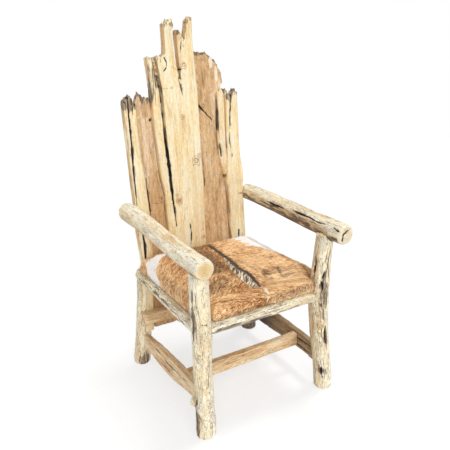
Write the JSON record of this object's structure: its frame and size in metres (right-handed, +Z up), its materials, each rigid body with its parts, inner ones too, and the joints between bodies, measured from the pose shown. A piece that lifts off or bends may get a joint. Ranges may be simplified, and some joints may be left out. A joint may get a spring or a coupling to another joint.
{
  "type": "armchair",
  "caption": "Rustic armchair of peeled branch-wood logs with a tall back of split, waney boards, scribed log joints and a crowned cowhide seat between the arms",
  "frame": {"origin": "middle of the chair's overall footprint, on the floor", "axes": "+X to the right as one faces the chair, +Y from its front to its back, +Z up, along its longest extent"},
  "size_m": [0.6446, 0.735, 1.409],
  "materials": {
    "peeled_wood": "weathered, peeled and waxed",
    "brown_wood": "weathered, sawn and waxed",
    "sawn_wood": "plain sawn",
    "seat_ply": "plain ply",
    "foam": "matte foam",
    "hide": "short-haired hide",
    "steel": "plain"
  },
  "bodies": {
    "root": {"front_left_leg": "peeled_wood", "front_right_leg": "peeled_wood", "back_left_leg": "peeled_wood", "back_right_leg": "peeled_wood", "left_arm": "peeled_wood", "right_arm": "peeled_wood", "front_seat_rail": "peeled_wood", "left_seat_rail": "peeled_wood", "right_seat_rail": "peeled_wood", "outer_left_slab": "peeled_wood", "centre_slab": "peeled_wood", "outer_right_slab": "peeled_wood", "left_stretcher": "brown_wood", "right_stretcher": "brown_wood", "cross_stretcher": "brown_wood", "lower_back_bar": "brown_wood", "left_plank": "brown_wood", "right_plank": "brown_wood", "sliver_board": "brown_wood", "rear_seat_rail": "sawn_wood", "lower_batten": "sawn_wood", "middle_batten": "sawn_wood", "upper_batten": "sawn_wood", "arm_dowels": "sawn_wood", "seat_board": "seat_ply", "seat_foam": "foam", "hide_cover": "hide", "batten_screws": "steel", "bar_screws": "steel", "lap_screws": "steel", "seat_screws": "steel", "hide_staples": "steel"}
  },
  "joints": []
}
